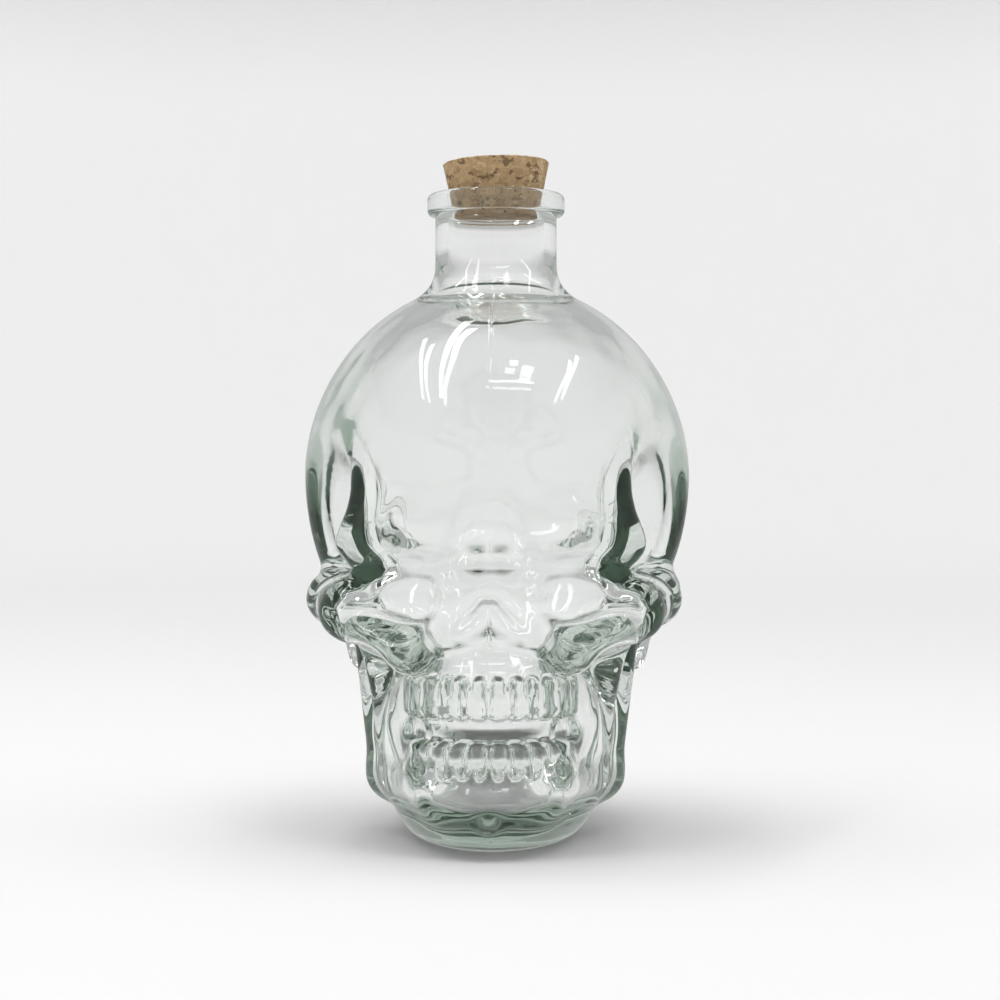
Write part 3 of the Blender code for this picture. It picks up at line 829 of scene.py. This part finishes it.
# Large soft lamps, which the glass doesn't mirror: one over the bottle, and a ring
# of them that light the wall
TOP_LAMP_SIZE = 3.0
TOP_LAMP_POWER = 9.6
RING_LAMPS = 4
RING_LAMP_RADIUS = 0.4
RING_LAMP_HEIGHT = 1.9
RING_LAMP_SIZE = (2.0, 0.6)
RING_LAMP_POWER = 9
RING_LAMP_AIM_HEIGHT = 0.35

# Painted shade: the paper's colour is a little darker in the middle, under the lamps, than where it
# turns into the wall, which evens out the lamps' pool of light: its greys, and how far out the change
# begins and ends
PAINTED_SHADE_FLOOR_GREY = 0.74
WALL_GREY = 0.95
PAINTED_SHADE_CHANGE = (0.4, 2.0)
PAPER_ROUGHNESS = 0.9

# Painted shade: the wall's colour darkens towards its top, to the room's grey, which leaves no edge
# in the glass
WALL_SHADE_FROM = 0.6
WALL_SHADE_SHARE = 0.7

# Strip lamps above the bottle, which the glass mirrors: how strong they are, and
# the middle, length and width of each and how far it is turned
STRIP_POWER_PER_AREA = 22
LAMP_HEIGHT = 1.0
STRIP_LAMPS = (
    ("strip_left", (-0.745, -0.105), 1.14, 0.06, math.radians(64)),
    ("strip_inner_left", (-0.40, -0.18), 1.37, 0.07, math.radians(67)),
    ("strip_right", (0.895, -0.10), 1.00, 0.07, math.radians(-73)),
    ("square_front", (0.28, -0.38), 0.13, 0.16, 0.0),
    ("small_front", (0.13, -0.30), 0.07, 0.09, 0.0),
    ("bar_front", (0.20, -0.60), 0.46, 0.05, math.radians(8)),
)


def floor_material():
    """Pale matt paper with painted shade: its grey is darker in the middle, which evens out the light
    from the middle to the wall, and darker towards the wall's top.
    """
    bench = NodeBench("pale_floor_painted_shade")
    bench.shader.inputs["Roughness"].default_value = PAPER_ROUGHNESS
    bench.shader.inputs["Specular IOR Level"].default_value = 0
    place_on_floor = bench.node("ShaderNodeTexCoord").outputs["Object"]
    reach = bench.node("ShaderNodeVectorMath", operation="LENGTH")
    bench.link(place_on_floor, reach.inputs[0])
    # Painted shade: the paper's grey is darker in the middle, under the lamps, and paler out at the
    # wall
    painted_shade_greys = (PAINTED_SHADE_FLOOR_GREY, WALL_GREY)
    painted_shade_grey = bench.map_range(reach.outputs["Value"], PAINTED_SHADE_CHANGE, painted_shade_greys, "SMOOTHSTEP")
    axes = bench.node("ShaderNodeSeparateXYZ")
    bench.link(place_on_floor, axes.inputs["Vector"])
    # Painted shade: the wall's colour darkens towards its top
    painted_wall_shade = bench.map_range(axes.outputs["Z"], (WALL_SHADE_FROM, WALL_TOP), (1, WALL_SHADE_SHARE), "SMOOTHSTEP")
    bench.link(bench.maths("MULTIPLY", painted_shade_grey, painted_wall_shade), bench.shader.inputs["Base Color"])
    return bench.material


def add_camera():
    """The camera, level and where the photograph's stood."""
    data = bpy.data.cameras.new("photo_camera")
    data.sensor_width = SENSOR_WIDTH
    data.lens = SENSOR_WIDTH * CAMERA_DISTANCE / FRAME_WIDTH_AT_NECK
    data.shift_x = CAMERA_SHIFT_X
    camera = bpy.data.objects.new("photo_camera", data)
    camera.location = (
        CAMERA_DISTANCE * math.sin(CAMERA_AZIMUTH),
        -CAMERA_DISTANCE * math.cos(CAMERA_AZIMUTH),
        CAMERA_HEIGHT,
    )
    camera.rotation_euler = (math.pi / 2, 0, CAMERA_AZIMUTH)
    bpy.context.scene.collection.objects.link(camera)
    return camera


def add_floor():
    """The paper: a disc that sweeps up into a round wall, seen from inside."""
    outline = [(0, 0)]
    for turn in np.linspace(-math.pi / 2, 0, SWEEP_STEPS + 1):
        radius = FLOOR_RADIUS + SWEEP_RADIUS * math.cos(turn)
        outline.append((radius, SWEEP_RADIUS * (1 + math.sin(turn))))
    outline.append((FLOOR_RADIUS + SWEEP_RADIUS, WALL_TOP))
    sheet = spin_profile(outline, STUDIO_COLUMNS)
    bmesh.ops.reverse_faces(sheet, faces=sheet.faces)
    mesh = bpy.data.meshes.new("studio_floor")
    sheet.to_mesh(mesh)
    sheet.free()
    mesh.shade_smooth()
    mesh.materials.append(floor_material())
    floor = bpy.data.objects.new("studio_floor", mesh)
    bpy.context.scene.collection.objects.link(floor)
    floor.visible_glossy = False


def add_lamp(name, location, size, power, mirrored):
    """A soft rectangular lamp that shines down, and shows in the glass or not."""
    data = bpy.data.lights.new(name, "AREA")
    data.shape = "RECTANGLE"
    data.size, data.size_y = size
    data.energy = power
    lamp = bpy.data.objects.new(name, data)
    lamp.location = location
    bpy.context.scene.collection.objects.link(lamp)
    lamp.visible_glossy = mirrored
    lamp.visible_transmission = mirrored
    lamp.visible_camera = False
    return lamp


def add_lamps():
    """The strips that the glass mirrors, the lamp over the bottle and those for the wall."""
    for name, (across, along), length, width, turn in STRIP_LAMPS:
        power = STRIP_POWER_PER_AREA * length * width
        strip = add_lamp(name, (across, along, LAMP_HEIGHT), (length, width), power, mirrored=True)
        strip.rotation_euler.z = turn
    top_size = (TOP_LAMP_SIZE, TOP_LAMP_SIZE)
    add_lamp("soft_top", (0, 0, LAMP_CEILING), top_size, TOP_LAMP_POWER, mirrored=False)
    for number in range(RING_LAMPS):
        turn = 2 * math.pi * number / RING_LAMPS
        outward = Vector((math.sin(turn), math.cos(turn), 0))
        place_in_ring = outward * RING_LAMP_RADIUS + Vector((0, 0, RING_LAMP_HEIGHT))
        aim = outward * (FLOOR_RADIUS + SWEEP_RADIUS) + Vector((0, 0, RING_LAMP_AIM_HEIGHT))
        name = f"ring_lamp_{number + 1}"
        lamp = add_lamp(name, place_in_ring, RING_LAMP_SIZE, RING_LAMP_POWER, mirrored=False)
        lamp.rotation_euler = (aim - place_in_ring).to_track_quat("-Z", "Y").to_euler()


def studio_world():
    """An even white room."""
    world = bpy.data.worlds.new("studio")
    world.use_nodes = True
    background = world.node_tree.nodes["Background"]
    background.inputs["Color"].default_value = (1, 1, 1, 1)
    background.inputs["Strength"].default_value = ROOM_BRIGHTNESS
    return world


class SKULLBOTTLE_OT_stage(bpy.types.Operator):
    """Set up the floor, the light and the camera"""

    bl_idname = "skullbottle.stage"
    bl_label = "Stage"

    def execute(self, context):
        scene = context.scene
        scene.camera = add_camera()
        add_floor()
        add_lamps()
        scene.world = studio_world()
        scene.view_settings.view_transform = "Standard"
        scene.cycles.max_bounces = LIGHT_BOUNCES
        scene.cycles.transmission_bounces = LIGHT_BOUNCES
        scene.cycles.glossy_bounces = LIGHT_BOUNCES
        return {"FINISHED"}


class SKULLBOTTLE_PT_panel(bpy.types.Panel):
    """Lists the pieces, sizes and colours"""

    bl_label = "Skull bottle"
    bl_idname = "SKULLBOTTLE_PT_panel"
    bl_space_type = "VIEW_3D"
    bl_region_type = "UI"
    bl_category = "Skull bottle"

    def draw(self, context):
        column = self.layout.column()
        for group in (context.scene.skull_bottle_sizes, context.scene.skull_bottle_colours):
            for name in group.__annotations__:
                column.prop(group, name)
        for operator in OPERATORS:
            column.operator(operator.bl_idname)


OPERATORS = (SKULLBOTTLE_OT_glass, SKULLBOTTLE_OT_cork, SKULLBOTTLE_OT_stage)
CLASSES = (SkullBottleSizes, SkullBottleColours, *OPERATORS, SKULLBOTTLE_PT_panel)


def register():
    """Registers the classes and gives the scene their sizes and colours."""
    for each in CLASSES:
        bpy.utils.register_class(each)
    bpy.types.Scene.skull_bottle_sizes = bpy.props.PointerProperty(type=SkullBottleSizes)
    bpy.types.Scene.skull_bottle_colours = bpy.props.PointerProperty(type=SkullBottleColours)


def unregister():
    """Takes back what register did."""
    del bpy.types.Scene.skull_bottle_colours
    del bpy.types.Scene.skull_bottle_sizes
    for each in reversed(CLASSES):
        bpy.utils.unregister_class(each)


def main():
    """Makes the bottle, its cork and the stage."""
    register()
    bpy.ops.skullbottle.glass()
    bpy.ops.skullbottle.cork()
    bpy.ops.skullbottle.stage()


if __name__ == "__main__":
    main()
